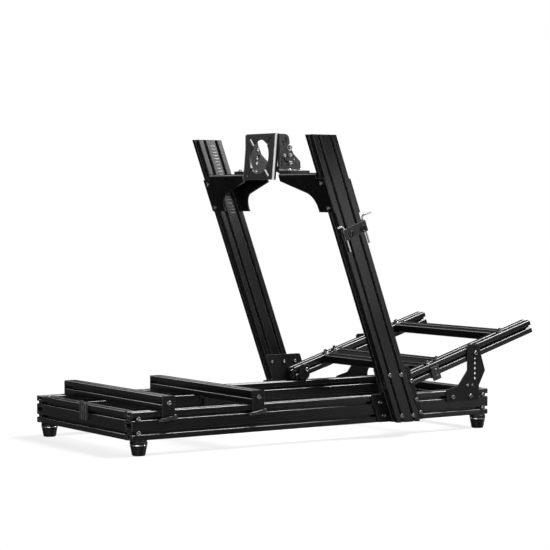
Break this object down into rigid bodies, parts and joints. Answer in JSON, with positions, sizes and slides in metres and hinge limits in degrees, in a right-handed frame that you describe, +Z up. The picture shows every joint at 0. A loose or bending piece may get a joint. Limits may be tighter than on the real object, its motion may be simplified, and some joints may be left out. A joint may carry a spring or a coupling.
{
  "type": "sim racing cockpit frame",
  "caption": "Open cockpit frame of black slotted aluminium profile with leaning wheel uprights, a wheel base mount, bars for a seat and a sloping pedal deck.",
  "frame": {"origin": "on the floor, at the middle of the overall width and length", "axes": "+X to the driver's right, +Y forward towards the pedals, +Z up"},
  "size_m": [0.678, 1.4604, 0.9097],
  "materials": {
    "black_profile": "black anodised, satin",
    "black_plate": "black powder coat, fine texture",
    "bright_collar": "dark turned metal with a bright ring",
    "foot_rubber": "matt",
    "lever_black": "black, satin",
    "tool_steel": "bright"
  },
  "bodies": {
    "root": {"base_rail_left": "black_profile", "base_rail_right": "black_profile", "clamp_levers": "lever_black", "foot_collars": "bright_collar", "foot_front_left": "foot_rubber", "foot_front_right": "foot_rubber", "foot_rear_left": "foot_rubber", "foot_rear_right": "foot_rubber", "front_cross_beam": "black_profile", "heel_clamp_left": "black_plate", "heel_clamp_right": "black_plate", "hex_keys": "tool_steel", "pedal_heel_bar": "black_profile", "pedal_rail_left": "black_profile", "pedal_rail_right": "black_profile", "pedal_support_left": "black_plate", "pedal_support_right": "black_plate", "pedal_top_bar": "black_profile", "pivot_plate_left": "black_plate", "pivot_plate_right": "black_plate", "rail_clip": "black_plate", "rear_clip": "black_plate", "rear_cross_beam": "black_profile", "seat_bar_front": "black_profile", "seat_bar_rear": "black_profile", "seat_plate_front_left": "black_plate", "seat_plate_front_right": "black_plate", "seat_plate_rear_left": "black_plate", "seat_plate_rear_right": "black_plate", "side_plate_left": "black_plate", "side_plate_right": "black_plate", "tool_holder": "black_plate", "upright_left": "black_profile", "upright_right": "black_profile", "wheel_arm_left": "black_plate", "wheel_arm_right": "black_plate", "wheel_bracket_left": "black_plate", "wheel_bracket_right": "black_plate", "wheel_plate": "black_plate"}
  },
  "joints": []
}
